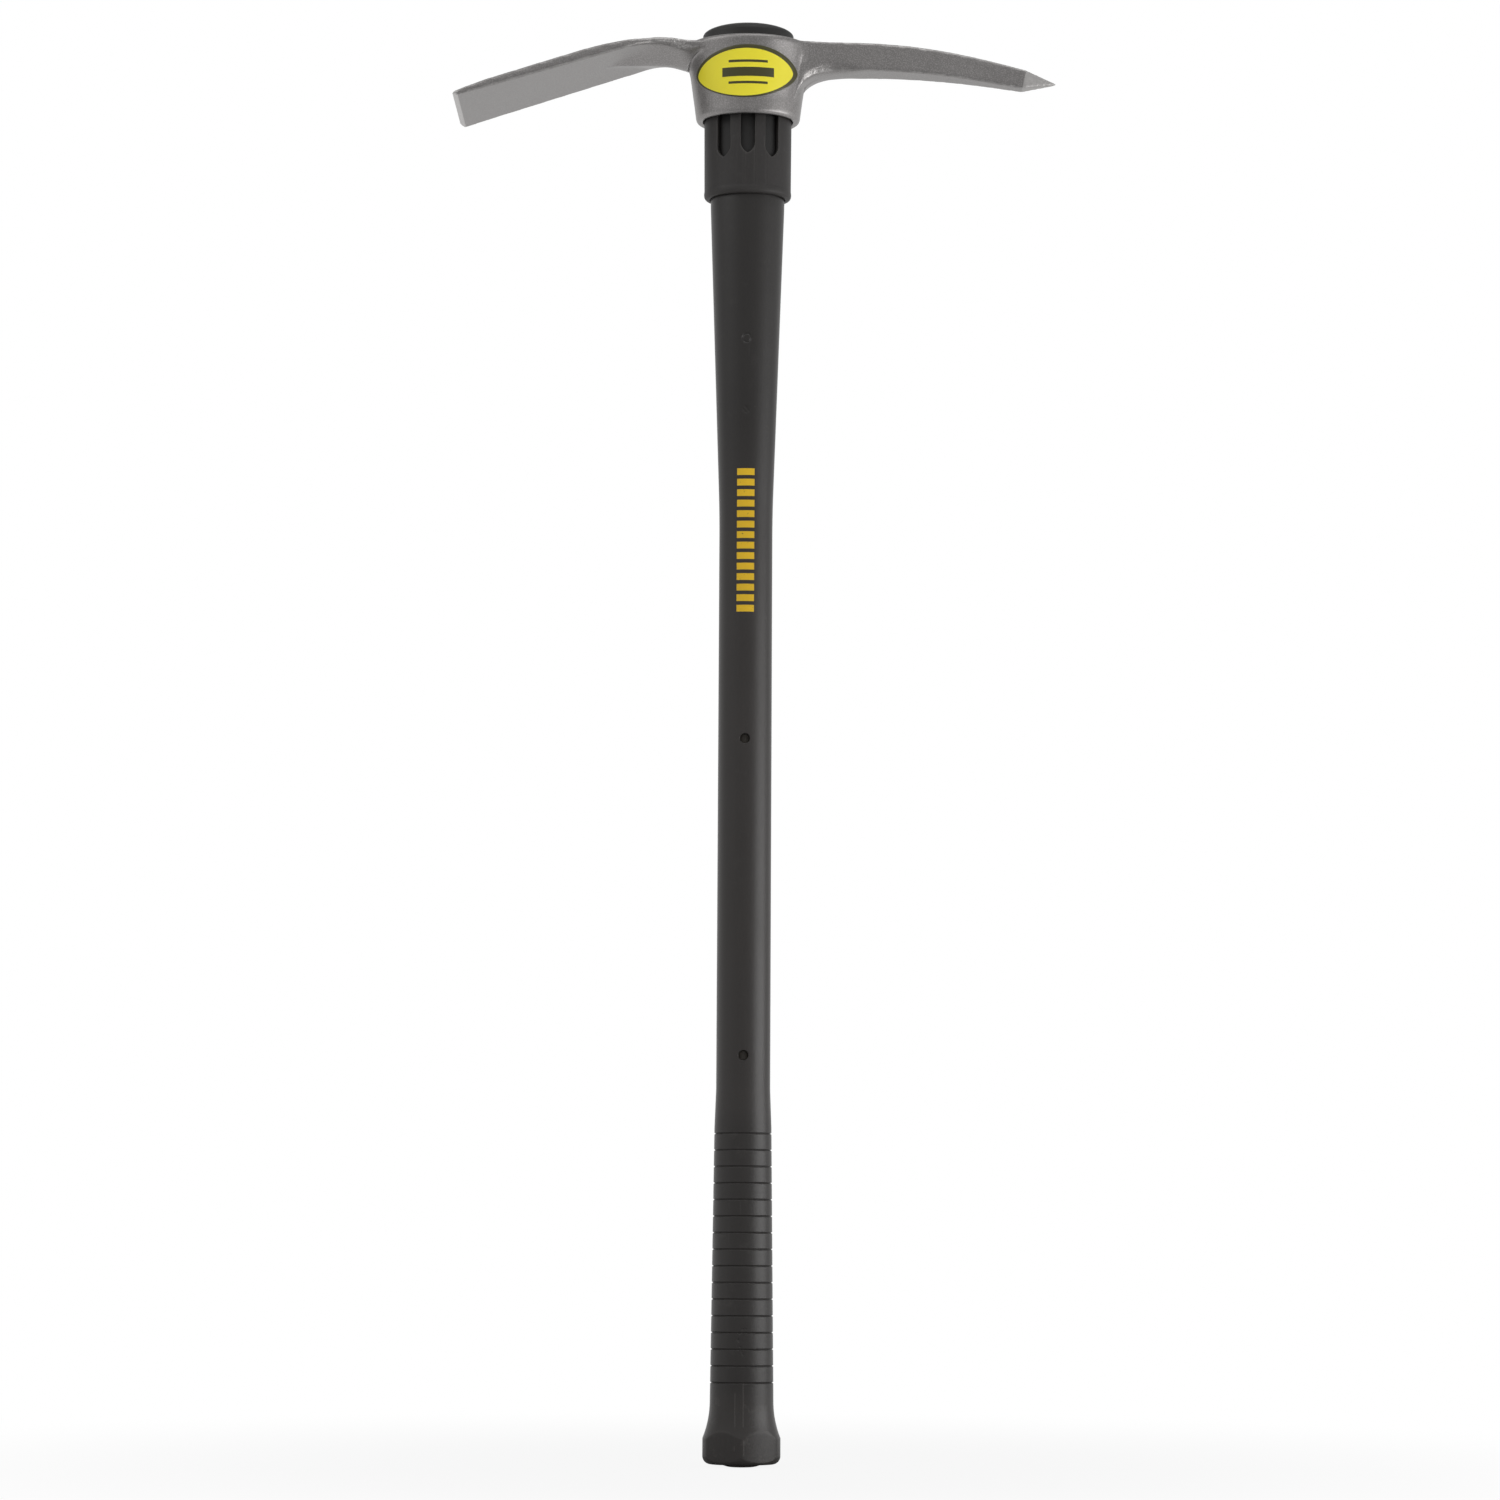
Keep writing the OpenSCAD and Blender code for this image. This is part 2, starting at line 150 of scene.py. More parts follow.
class Wire:
    """A shader value. An operator on it adds a Math node."""

    def __init__(self, tree, socket):
        self.tree, self.socket = tree, socket

    def math(self, operation, first, second=None):
        node = self.tree.nodes.new("ShaderNodeMath")
        node.operation = operation
        for socket, value in zip(node.inputs, (first, second)):
            plug(self.tree, socket, value)
        return Wire(self.tree, node.outputs[0])

    def __add__(self, other): return self.math("ADD", self, other)
    def __radd__(self, other): return self.math("ADD", other, self)
    def __sub__(self, other): return self.math("SUBTRACT", self, other)
    def __rsub__(self, other): return self.math("SUBTRACT", other, self)
    def __mul__(self, other): return self.math("MULTIPLY", self, other)
    def __rmul__(self, other): return self.math("MULTIPLY", other, self)
    def __truediv__(self, other): return self.math("DIVIDE", self, other)
    def __rtruediv__(self, other): return self.math("DIVIDE", other, self)
    def __lt__(self, other): return self.math("LESS_THAN", self, other)
    def __gt__(self, other): return self.math("GREATER_THAN", self, other)
    def __abs__(self): return self.math("ABSOLUTE", self)

    def fraction(self): return self.math("FRACT", self)
    def root(self): return self.math("SQRT", self)
    def most(self, other): return self.math("MAXIMUM", self, other)
    def least(self, other): return self.math("MINIMUM", self, other)


def plug(tree, socket, value):
    """Sets a socket to a number or a colour, or links it."""
    if isinstance(value, Wire):
        tree.links.new(value.socket, socket)
    elif value is not None:
        socket.default_value = (*value, 1.0) if socket.type == "RGBA" and len(value) == 3 else value


class Finish:
    """A material, or the world, that is built from expressions."""

    def __init__(self, owner):
        owner.use_nodes = True
        self.owner, self.tree = owner, owner.node_tree
        self.tree.nodes.clear()

    def node(self, kind, settings=None, sockets=None, out=0):
        """One node: its settings first, then the values or links of its sockets.

        out is the output that is given back, or a tuple of several.
        """
        node = self.tree.nodes.new(kind)
        for name, value in (settings or {}).items():
            setattr(node, name, value)
        for name, value in (sockets or {}).items():
            plug(self.tree, node.inputs[name], value)
        if isinstance(out, tuple):
            return [Wire(self.tree, node.outputs[name]) for name in out]
        return Wire(self.tree, node.outputs[out]) if node.outputs else None

    def place(self):
        """Where a point is on the piece, in metres."""
        return self.node("ShaderNodeTexCoord", out="Object")

    def parts(self, vector):
        """The three parts of a vector."""
        return self.node("ShaderNodeSeparateXYZ", None, {0: vector}, (0, 1, 2))

    def drawn(self, spot, along):
        """The place with its height scaled, for streaks up and down."""
        return self.node("ShaderNodeVectorMath", {"operation": "MULTIPLY"},
                         {0: spot, 1: (1.0, 1.0, along)})

    def noise(self, spot, scale, detail=3.0, rough=0.55, warp=0.0):
        """Cloudy values from 0 to 1."""
        return self.node("ShaderNodeTexNoise", None,
                         {"Vector": spot, "Scale": scale, "Detail": detail, "Roughness": rough,
                          "Distortion": warp}, "Fac")

    def cells(self, spot, scale):
        """Distance to the nearest of many scattered points."""
        return self.node("ShaderNodeTexVoronoi", None, {"Vector": spot, "Scale": scale}, "Distance")

    def step(self, value, low, high):
        """0 below low, 1 above high, smooth between."""
        return self.node("ShaderNodeMapRange", {"interpolation_type": "SMOOTHSTEP"},
                         {"Value": value, "From Min": low, "From Max": high})

    def mix(self, amount, first, second):
        """From the first colour to the second."""
        return self.node("ShaderNodeMix", {"data_type": "RGBA"}, {0: amount, 6: first, 7: second}, 2)

    def tinted(self, paint, level):
        """A colour made lighter or darker by a value."""
        grey = self.node("ShaderNodeCombineXYZ", None, {0: level, 1: level, 2: level})
        return self.node("ShaderNodeVectorMath", {"operation": "MULTIPLY"}, {0: paint, 1: grey})

    def bump(self, height, distance, strength):
        """A normal that follows a height."""
        return self.node("ShaderNodeBump", None,
                         {"Height": height, "Distance": distance, "Strength": strength}, "Normal")

    def attribute(self, name):
        """A value that the mesh carries."""
        return self.node("ShaderNodeAttribute", {"attribute_name": name}, out="Fac")

    def rays(self):
        """Whether a ray comes from the camera, and whether it comes off or through a piece."""
        camera, shine, clear = self.node(
            "ShaderNodeLightPath", out=("Is Camera Ray", "Is Glossy Ray", "Is Transmission Ray"))
        return camera, shine.most(clear)

    def surface(self, **sockets):
        """The Principled shader and the output."""
        names = {name.replace("_", " ").title().replace("Ior", "IOR"): v for name, v in sockets.items()}
        shader = self.node("ShaderNodeBsdfPrincipled", None, names)
        self.node("ShaderNodeOutputMaterial", None, {"Surface": shader})
        return self.owner


def new_finish(name):
    return Finish(bpy.data.materials.new(name))


def add_piece(name, points, faces, materials, body, replaced):
    """A piece from points and faces."""
    mesh = bpy.data.meshes.new(name)
    mesh.from_pydata(points, [], faces)
    return dress_piece(name, mesh, materials, body, replaced)


def dress_piece(name, mesh, materials, body, replaced):
    """A smooth piece that rides on a body and stands for CAD nodes."""
    mesh.materials.clear()
    for material in materials:
        mesh.materials.append(material)
    mesh.shade_smooth()
    piece = bpy.data.objects.new(name, mesh)
    bpy.context.scene.collection.objects.link(piece)
    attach(piece, body)
    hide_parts(*replaced)
    return piece


def smooth_step(value, low, high):
    """0 below low, 1 above high, smooth between."""
    t = np.clip((value - low) / (high - low), 0, 1)
    return t * t * (3 - 2 * t)


def ring_faces(rings, m):
    """Quads between rings of m points each."""
    low = np.arange(rings - 1)[:, None] * m
    a, b = np.arange(m)[None, :], (np.arange(m)[None, :] + 1) % m
    return np.stack([low + a, low + b, low + m + b, low + m + a], 2).reshape(-1, 4).tolist()


def arc(before, corner, after, radius, steps=24):
    """Points of the arc that rounds a corner of an outline."""
    u = (before - corner) / np.linalg.norm(before - corner)
    v = (after - corner) / np.linalg.norm(after - corner)
    half = math.acos(float(np.clip(u @ v, -1, 1))) / 2
    centre = corner + (u + v) / np.linalg.norm(u + v) * radius / math.sin(half)
    start = corner + u * radius / math.tan(half) - centre
    turn = (math.pi - 2 * half) * np.sign(v[0] * u[1] - v[1] * u[0])
    angles = turn * np.arange(steps + 1) / steps
    c, s = np.cos(angles), np.sin(angles)
    return centre + np.stack([c * start[0] - s * start[1], s * start[0] + c * start[1]], 1)


def rounded(path):
    """An open outline of (half width, height, corner radius) with its corners rounded."""
    points = [np.array(p[:2], float) for p in path]
    out = []
    for i, p in enumerate(path):
        if len(p) == 3:
            out.extend(arc(points[i - 1], points[i], points[i + 1], p[2]))
        else:
            out.append(points[i])
    return np.array(out)


# The handle, all in millimetres. The foot under the butt: half width, height and oval.
FOOT = np.array([(5.5, 0.0, 1.0), (7.6, 0.14, 1.0), (9.3, 0.45, 1.0), (10.8, 0.92, 1.0),
                 (12.0, 1.3, 1.0), (13.6, 1.58, 0.94), (16.0, 1.7, 0.84)])

# Its outline: half width, height and corner radius, with a flare over the knob and a dome on top
KNOB_R, KNOB_Z, GRIP_R, GRIP_Z, FLARE_STEPS = 24, 17.5, 19.6, 40, 24
CROWN_R, DOME_Z, DOME_H, DOME_STEPS, CROWN_TOP_Z = 29.2, 906.6, 7.4, 32, 913.75
KNOB_CORNERS = ((19, 1.7), (KNOB_R, 1.7, 5))
SHAFT_CORNERS = ((17.7, 207, 24), (16.8, 231, 48), (16.8, 594.2, 900), (23.6, 794.2, 300),
                 (23.6, 864, 1.5), (28.7, 872, 2), (CROWN_R, EYE_TOP_Z))

# Rings of the grip, and flats on the knob: tilt from the front, depth, crowning and soft edge
GROOVES, GROOVE_W = [51.2 + 10.15 * i for i in range(16)], 1.3
FLAT_TILT, FLAT_DEPTH, FLAT_CROWN_R, FLAT_TOP_Z = math.radians(27), 1.3, 46.0, 39
FLAT_SOFT, FLAT_REACH = 0.03, 3
# The flats' edges are rubbed pale and also carry a painted highlight: weight, width and the heights
# where it comes in
FLAT_RUB_AND_HIGHLIGHT, FLAT_RUB_AND_HIGHLIGHT_W, FLAT_RUB_AND_HIGHLIGHT_Z = 0.5, 0.16, (17, 23)

# Strips on the knob: sideways place, foot and top, and how they run out at both. Pits: sideways
# place, height and spread.
STRIPS, STRIP_W = ((-4.1, 24, 46), (0.9, 24, 52), (1.2, 6.5, 17.8), (-4.4, 9.8, 14.0)), 0.26
STRIP_FOOT, STRIP_TOP = 1.2, 1.6
PITS = ((0.8, 83.7, 0.6), (2.2, 84.0, 0.5), (-1.5, 81.1, 0.6), (-2.1, 77.4, 0.7), (-2.0, 76.4, 0.6),
        (-0.9, 73.0, 0.5), (-0.4, 71.6, 0.5), (0.1, 70.1, 0.5), (0.6, 68.6, 0.6))
PIT_DEPTH = 0.3

# Pin holes: open ones, and filled ones that left a ring and a smudge
OPEN_HOLES, FILLED_RING, FILLED_SMUDGE = (251.5, 449.5), 705.2, 659.2
HOLE_R, CORE_R, BELOW_CORE = 3.1, 9.5, 0.15
HOLE_EDGE = HOLE_R - 0.3, HOLE_R + 0.15
RING_H, RING_INSET, RING_W, PLUG_H, PLUG_INSET = 0.55, 0.35, 0.34, 0.12, 0.4
SMUDGE_H, SMUDGE_R = 0.35, 1.6
GATE_DEPTH, GATE_R, GATE_Z = 0.25, 1.1, 908

# The handle's mesh: columns on the front and the back are a degree apart, wider on the sides.
# Its rows are finer in some zones: lowest and highest height, and spacing.
FRONT_TURN, SIDE_COLUMNS = 16, 60
COARSE, TINY, LEAST_CLIMB = 2.4, 1e-6, 0.1
FINE_ZONES = ([(g - 0.9, g + 0.9, 0.15) for g in GROOVES]
              + [(h - 4.2, h + 4.2, 0.3) for h in (*OPEN_HOLES, FILLED_RING, FILLED_SMUDGE)]
              + [(0.0, 46.0, 0.6), (66.0, 86.0, 0.3), (860.0, 915.0, 0.6)])
ZONE_ENDS = np.array(sorted({end for zone in FINE_ZONES for end in zone[:2]}))


def handle_outline():
    """Half width and height of the handle from the butt to the top of the crown."""
    rise, run = GRIP_Z - KNOB_Z, KNOB_R - GRIP_R
    r = (rise * rise + run * run) / (2 * run)
    turns = [math.asin(rise / r) * i / FLARE_STEPS for i in range(FLARE_STEPS, -1, -1)]
    flare = [(GRIP_R + r * (1 - math.cos(t)), GRIP_Z - r * math.sin(t)) for t in turns]
    turns = [math.pi / 2 * i / DOME_STEPS for i in range(DOME_STEPS)]
    dome = [(CROWN_R * math.cos(t), DOME_Z + DOME_H * math.sin(t)) for t in turns]
    return rounded([*KNOB_CORNERS, *flare, *SHAFT_CORNERS, *dome])


def spaced(outline):
    """The outline with its points as close as each zone of the handle's mesh needs."""
    out = [outline[0]]
    for p, q in zip(outline[:-1], outline[1:]):
        length, done = float(np.linalg.norm(q - p)), 0.0
        climb = (q[1] - p[1]) / length
        while length - done > TINY:
            z = p[1] + climb * done + TINY
            step = min([COARSE] + [fine for low, high, fine in FINE_ZONES if low <= z < high])
            ends = ZONE_ENDS[ZONE_ENDS > z]
            if climb > LEAST_CLIMB and len(ends):
                step = min(step, (ends[0] - z) / climb + 2 * TINY)
            done = min(length, done + step)
            out.append(p + (q - p) * done / length)
    return np.array(out)


def knob_flats(x, y, h):
    """Cuts flats on the quarters of the knob, a little crowned, and says where their edges are rubbed
    pale and carry a painted highlight.
    """
    stand = KNOB_R * math.hypot(math.sin(FLAT_TILT), OVAL * math.cos(FLAT_TILT))
    rubbed = np.zeros_like(h)
    for a in (-FLAT_TILT, FLAT_TILT, math.pi - FLAT_TILT, math.pi + FLAT_TILT):
        n = (-math.sin(a), math.cos(a))
        middle = KNOB_R * KNOB_R * (1 - OVAL * OVAL) * n[0] * n[1] / stand
        across = x * n[1] - y * n[0] - middle
        over = x * n[0] + y * n[1] - stand + FLAT_DEPTH + across * across / (2 * FLAT_CROWN_R)
        cut = over - 0.5 * (over - np.sqrt(over * over + FLAT_SOFT))
        cut = np.where((h < FLAT_TOP_Z) & (over > -FLAT_REACH), cut, 0)
        # The edges are paled for wear and as a painted highlight along the flats' arched tops
        rubbed += np.exp(-(over / FLAT_RUB_AND_HIGHLIGHT_W) ** 2) * smooth_step(h, *FLAT_RUB_AND_HIGHLIGHT_Z) * (h < FLAT_TOP_Z)
        x, y = x - cut * n[0], y - cut * n[1]
    return x, y, rubbed


def knob_strips(x, y, h):
    """Thin strips up the front of the knob, broken where the knob flares: 1 on them, 0 beside."""
    raised = np.zeros_like(h)
    for strip, low, high in STRIPS:
        near = np.exp(-((x - strip) / STRIP_W) ** 2) * (y < 0)
        near = near * smooth_step(h, low, low + STRIP_FOOT)
        raised += near * (1 - smooth_step(h, high - STRIP_TOP, high))
    return raised


def pin_holes(x, y, h):
    """Sinks the pin holes: open down to the core, or filled up to a mark."""
    side = np.sign(y)
    deep = np.sqrt(np.maximum(CORE_R ** 2 - x * x, 0)) - BELOW_CORE
    for hole in OPEN_HOLES:
        edge = 1 - smooth_step(np.hypot(x, h - hole), *HOLE_EDGE)
        y = y + edge * (side * deep - y)
    off = np.hypot(x, h - FILLED_RING)
    ring = RING_H * np.exp(-((off - HOLE_R + RING_INSET) / RING_W) ** 2)
    y = y - side * (ring + PLUG_H * (off < HOLE_R - PLUG_INSET))
    off = np.hypot(x, h - FILLED_SMUDGE)
    wave = 0.65 + 0.35 * np.sin(2.3 * x + 1.7 * (h - FILLED_SMUDGE))
    return y - side * SMUDGE_H * (1 - smooth_step(off, SMUDGE_R, HOLE_R)) * wave


def handle_mesh(look):
    """The jacket with its grooves, knob flats, pin holes and moulding marks, in metres.

    Each point also has a value that says how far it stands out and is rubbed pale, with a painted
    highlight on the edges of the knob's flats.
    """
    wall = spaced(handle_outline())
    r = np.concatenate([FOOT[:, 0], wall[:, 0]])
    z = np.concatenate([FOOT[:, 1], wall[:, 1]])
    oval = np.concatenate([FOOT[:, 2], np.full(len(wall), OVAL)])
    for g in GROOVES:
        near = np.abs(z - g) < GROOVE_W / 2
        hollow = 0.5 + 0.5 * np.cos(2 * math.pi * (z - g) / GROOVE_W)
        r = r - near * (look.groove_depth / MM) * hollow
    fine = np.arange(-FRONT_TURN, FRONT_TURN, 1.0)
    wide = np.linspace(FRONT_TURN, 180 - FRONT_TURN, SIDE_COLUMNS + 1)[:-1]
    turn = np.radians(np.concatenate([-90 + fine, -90 + wide, 90 + fine, 90 + wide]))
    x = r[:, None] * np.cos(turn)[None, :]
    y = (r * oval)[:, None] * np.sin(turn)[None, :]
    h = np.repeat(z[:, None], len(turn), 1)

    x, y, rubbed = knob_flats(x, y, h)
    raised = knob_strips(x, y, h)
    y = y - raised * look.seam / MM

    # Pits in the front of the grip
    for at, up, spread in PITS:
        y = y + PIT_DEPTH * np.exp(-(((x - at) ** 2 + (h - up) ** 2) / spread ** 2)) * (y < 0)
    y = pin_holes(x, y, h)

    # The gate's trace on the dome
    h = h - GATE_DEPTH * np.exp(-(np.hypot(x, y) / GATE_R) ** 2) * (h > GATE_Z)

    n, m = h.shape
    points = np.stack([x, y, h], 2).reshape(-1, 3)
    points = np.concatenate([points, [[0, 0, 0], [0, 0, CROWN_TOP_Z]]]) * MM
    butt = [(n * m, (j + 1) % m, j) for j in range(m)]
    last = (n - 1) * m
    crown = [(n * m + 1, last + j, last + (j + 1) % m) for j in range(m)]
    # The pale value holds the strips and the flats' edges, which also carry a painted highlight
    pale = np.concatenate([(raised + FLAT_RUB_AND_HIGHLIGHT * rubbed).ravel(), [0, 0]])
    return points, ring_faces(n, m) + butt + crown, pale


# Heights where the handle's finish changes, in metres: start and end of each change
# The foot's band is worn pale and also carries painted light from the floor below
FOOT_WEAR_AND_LIGHT, KNOB_RUB = (0.0009, 0.0019), (0.03, 0.07)
GRIP_START, GRIP_END = (0.04, 0.05), (0.206, 0.222)
# The crown and the collar's seat bound the painted shade on the jacket
UPPER_SHAFT, CROWN_START = (0.54, 0.68), (0.896, 0.906)
SEAT_START, SEAT_END = (0.7985, 0.8), (0.86, 0.865)
PARTING_LINE = 0.00012, 0.0003

# The row of printed bars: its foot, length, sideways shift and half width in metres, and how
# much of each step is inked
PRINT_Z, PRINT_LENGTH, PRINT_SHIFT, PRINT_HALF_W, INKED = 0.5298, 0.094, 0.0002, 0.0055, 0.64
# Colours of the foot, pale from wear and from painted light, and of the core's fibres
FOOT_PAINT, FIBRE_PAINT = (0.15, 0.125, 0.12), (0.06, 0.05, 0.035)


def jacket_finish(look):
    """Moulded black, rubbed and dusty, with printed bars, painted shade on the crown and the collar's
    seat, and painted light on the foot and the knob's flat edges.
    """
    f = new_finish("jacket_moulded_black")
    spot = f.place()
    x, y, z = f.parts(spot)
    cloud = f.noise(spot, 26.0, detail=4.0)
    streak = f.noise(f.drawn(spot, 0.06), 320.0)
    grain = f.noise(spot, 2600.0, detail=2.0, rough=0.6)
    dust = 1 - f.step(f.cells(spot, 170.0), 0.035, 0.07)
    dust = dust * f.step(f.noise(spot, 60.0, detail=2.0), 0.56, 0.66)
    scratch = f.noise(f.drawn(spot, 0.012), 900.0, detail=2.0, rough=0.5, warp=0.4)
    scratch = f.step(scratch, 0.70, 0.76) * f.step(f.noise(spot, 34.0, detail=2.0), 0.52, 0.64)

    # Rubbed places: the knob, its strips and edges, and the lands between the grip's rings. The edges
    # of the knob's flats are also a painted highlight.
    low = 1 - f.step(z, *KNOB_RUB)
    grip = f.step(z, *GRIP_START) - f.step(z, *GRIP_END)
    rub = f.step(f.noise(spot, 95.0, detail=5.0, rough=0.65), 0.56, 0.74)
    # The raised value also carries the painted highlight on the edges of the knob's flats
    strip = f.attribute("raised")
    scuff = rub * (0.10 + 0.7 * low + 0.16 * grip) + 0.55 * dust + 0.4 * scratch + 0.9 * strip
    scuff = scuff.least(1.0)

    # Painted shade darkens the crown and the collar's seat, where the jacket shows in the slots; the
    # upper shaft and the grip are darker too
    crown = f.step(z, *CROWN_START)
    seat = f.step(z, *SEAT_START) - f.step(z, *SEAT_END)
    upper = f.step(z, *UPPER_SHAFT) * (1 - crown)
    shade = 0.80 + 0.22 * cloud + 0.20 * streak + 0.12 * grain
    # Painted shade on the crown and the seat; the upper shaft and the grip are darker
    shade = shade * (1 - 0.75 * crown - 0.7 * seat) * (1 - 0.42 * upper - 0.25 * grip)
    base = f.mix(scuff * 0.8, f.tinted((*look.jacket,), shade), (*look.scuff,))

    # The foot is worn pale and painted lighter still, as painted light thrown up from the floor
    base = f.mix(1 - f.step(z, *FOOT_WEAR_AND_LIGHT), base, FOOT_PAINT)

    # Printed bars on the front of the shaft
    along = (z - PRINT_Z) / PRINT_LENGTH
    bar = (along * look.bars).fraction() < INKED
    worn = f.step(f.noise(spot, 420.0, detail=4.0, rough=0.7), 0.30, 0.36)
    inside = (along > 0.0) * (along < 1.0) * (abs(x + PRINT_SHIFT) < PRINT_HALF_W) * (y < 0.0)
    ink = bar * inside * worn
    base = f.mix(ink, base, f.tinted((*look.ink,), 0.86 + 0.26 * cloud))

    seam = 1 - f.step(abs(y), *PARTING_LINE)
    relief = 0.5 * grain + 0.35 * f.noise(spot, 900.0) + 0.5 * cloud
    relief = relief + 0.9 * seam + 0.12 * ink - 0.6 * scratch
    dull = look.roughness + 0.10 * (cloud - 0.5) + 0.16 * scuff + 0.08 * (grain - 0.5)
    return f.surface(
        base_color=base,
        roughness=dull - 0.05 * ink + 0.12 * crown + 0.2 * seat,
        specular_ior_level=0.47,
        normal=f.bump(relief, distance=0.00009, strength=0.7))


def core_finish(look):
    """Dark rod with pale fibres along it."""
    f = new_finish("core_glass_fibre")
    spot = f.place()
    fibre = f.noise(f.drawn(spot, 0.02), 2200.0, detail=4.0, rough=0.6)
    resin = f.tinted((*look.rod,), 0.6 + 0.6 * f.noise(spot, 180.0))
    return f.surface(
        base_color=f.mix(f.step(fibre, 0.42, 0.68) * 0.7, resin, FIBRE_PAINT),
        roughness=0.42 + 0.2 * fibre,
        normal=f.bump(fibre, distance=0.00008, strength=0.6))


# Smoothing: a step in and a longer one out, how much of an edge has to run along an arm, the share
# of points that are less than fully worn, and the fewest points of a mesh that is whole
IRON_IN, IRON_OUT, ALONG_ARM, WORN_PERCENTILE, LEAST_POINTS = 0.55, -0.58, 0.6, 98.5, 1000


def neighbours(mesh):
    """Which points each edge joins, and how many edges each point has."""
    ends = np.zeros(len(mesh.edges) * 2, np.int64)
    mesh.edges.foreach_get("vertices", ends)
    return edge_rows(ends[0::2], ends[1::2], len(mesh.vertices))


def edge_rows(a, b, points):
    """Edges from a to b, and how many of them each point has."""
    count = np.bincount(a, minlength=points) + np.bincount(b, minlength=points)
    return a, b, np.maximum(count, 1)


def averaged(values, links):
    """Each point's mean over its neighbours."""
    a, b, count = links
    out = np.empty_like(values)
    for k in range(values.shape[1]):
        total = np.bincount(a, values[b, k], len(count)) + np.bincount(b, values[a, k], len(count))
        out[:, k] = total / count
    return out


def relaxed(points, links, rounds, weight=0.5):
    """Moves each point towards the mean of its neighbours, some rounds over."""
    for _ in range(rounds):
        points = points + weight * (averaged(points, links) - points)
    return points


def ironed(points, links, rounds):
    """Takes out the steps of the grid without shrinking the shape."""
    for _ in range(rounds):
        points = relaxed(points, links, 1, IRON_IN)
        points = relaxed(points, links, 1, IRON_OUT)
    return points


def drawn_out(points, links, rounds, amount):
    """Straightens edges that run along the arms, and leaves the arms' sections as they are."""
    a, b, _ = links
    run = points[a] - points[b]
    along = np.abs(run[:, 0]) > ALONG_ARM * np.linalg.norm(run, axis=1)
    rows = edge_rows(a[along], b[along], len(points))
    weight = (0.5 * amount * (rows[2] > 1))[:, None]
    return relaxed(points, rows, rounds, weight)


def fine_copy(node, grain):
    """A closed mesh of even quads over a CAD node, with its points in millimetres."""
    copy = bpy.data.objects.new("fine_copy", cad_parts[node].data.copy())
    bpy.context.scene.collection.objects.link(copy)
    remesh = copy.modifiers.new("even", "REMESH")
    remesh.mode, remesh.voxel_size, remesh.adaptivity = "VOXEL", grain, 0.0
    graph = bpy.context.evaluated_depsgraph_get()
    mesh = bpy.data.meshes.new_from_object(copy.evaluated_get(graph))
    source = copy.data
    bpy.data.objects.remove(copy)
    bpy.data.meshes.remove(source)
    if len(mesh.vertices) < LEAST_POINTS:
        raise RuntimeError(f"{node} lost its mesh while it was refined")
    points = np.zeros(len(mesh.vertices) * 3, np.float32)
    mesh.vertices.foreach_get("co", points)
    return mesh, points.reshape(-1, 3).astype(float) / MM


def read_normals(mesh):
    normals = np.zeros(len(mesh.vertices) * 3, np.float32)
    mesh.vertex_normals.foreach_get("vector", normals)
    return normals.reshape(-1, 3).astype(float)


def write_value(mesh, name, values):
    mesh.attributes.new(name, "FLOAT", "POINT").data.foreach_set("value", values.astype(np.float32))


def write_worn(mesh, points, links):
    """Moves the mesh to new points. Its edge_wear goes from 0 to 1 on edges that stand out."""
    mesh.vertices.foreach_set("co", (points * MM).astype(np.float32).ravel())
    mesh.update()
    bend = ((points - averaged(points, links)) * read_normals(mesh)).sum(1)
    bend = relaxed(np.maximum(bend, 0)[:, None], links, 2)[:, 0]
    full = max(float(np.percentile(bend, WORN_PERCENTILE)), TINY)
    write_value(mesh, "edge_wear", np.clip(bend / full, 0, 1))


# Changes over the head in millimetres: start and end of each, outwards from the eye
BORE_WALL, ROOT_END = (30.7, 31.7), (60, 80)
ARM_START, ARM_END = (56, 66), (166, 174)
EDGE_KEEN, POINT_KEEN, FULL_REACH = (166, 176), (160, 172), 180
SOFT_START, SOFT_END, SOFT_FOOT, SOFT_TOP = (32, 37), (58, 76), (853, 858), (894, 898)
ADZE_RISE, ADZE_LIFT = (40, 75), 0.5

# The same round the label, as shares of its width and height
FILL_OFF_LABEL, SOFT_OFF_LABEL = (0.50, 0.80), (0.50, 0.60)

# Rounds of smoothing
DRAWN, IRONED, BLUNTED, SOFTENED = 60, 12, 3, 72

# Swellings on top of and under the arms: height, place and width. They are on faces that look
# up or down by at least FACING, and the lower ones run out above the foot of the eye.
CRESTS = ((1.3, -54, 14), (0.4, 100, 40))
BELLIES, BELLY_FOOT = ((1.6, -41, 7), (1.4, 46, 12), (0.8, 60, 11)), (857, 862)
FACING = 0.3


def humps(x, table):
    """The height of some round humps."""
    return sum(height * np.exp(-((x - at) / width) ** 2) for height, at, width in table)


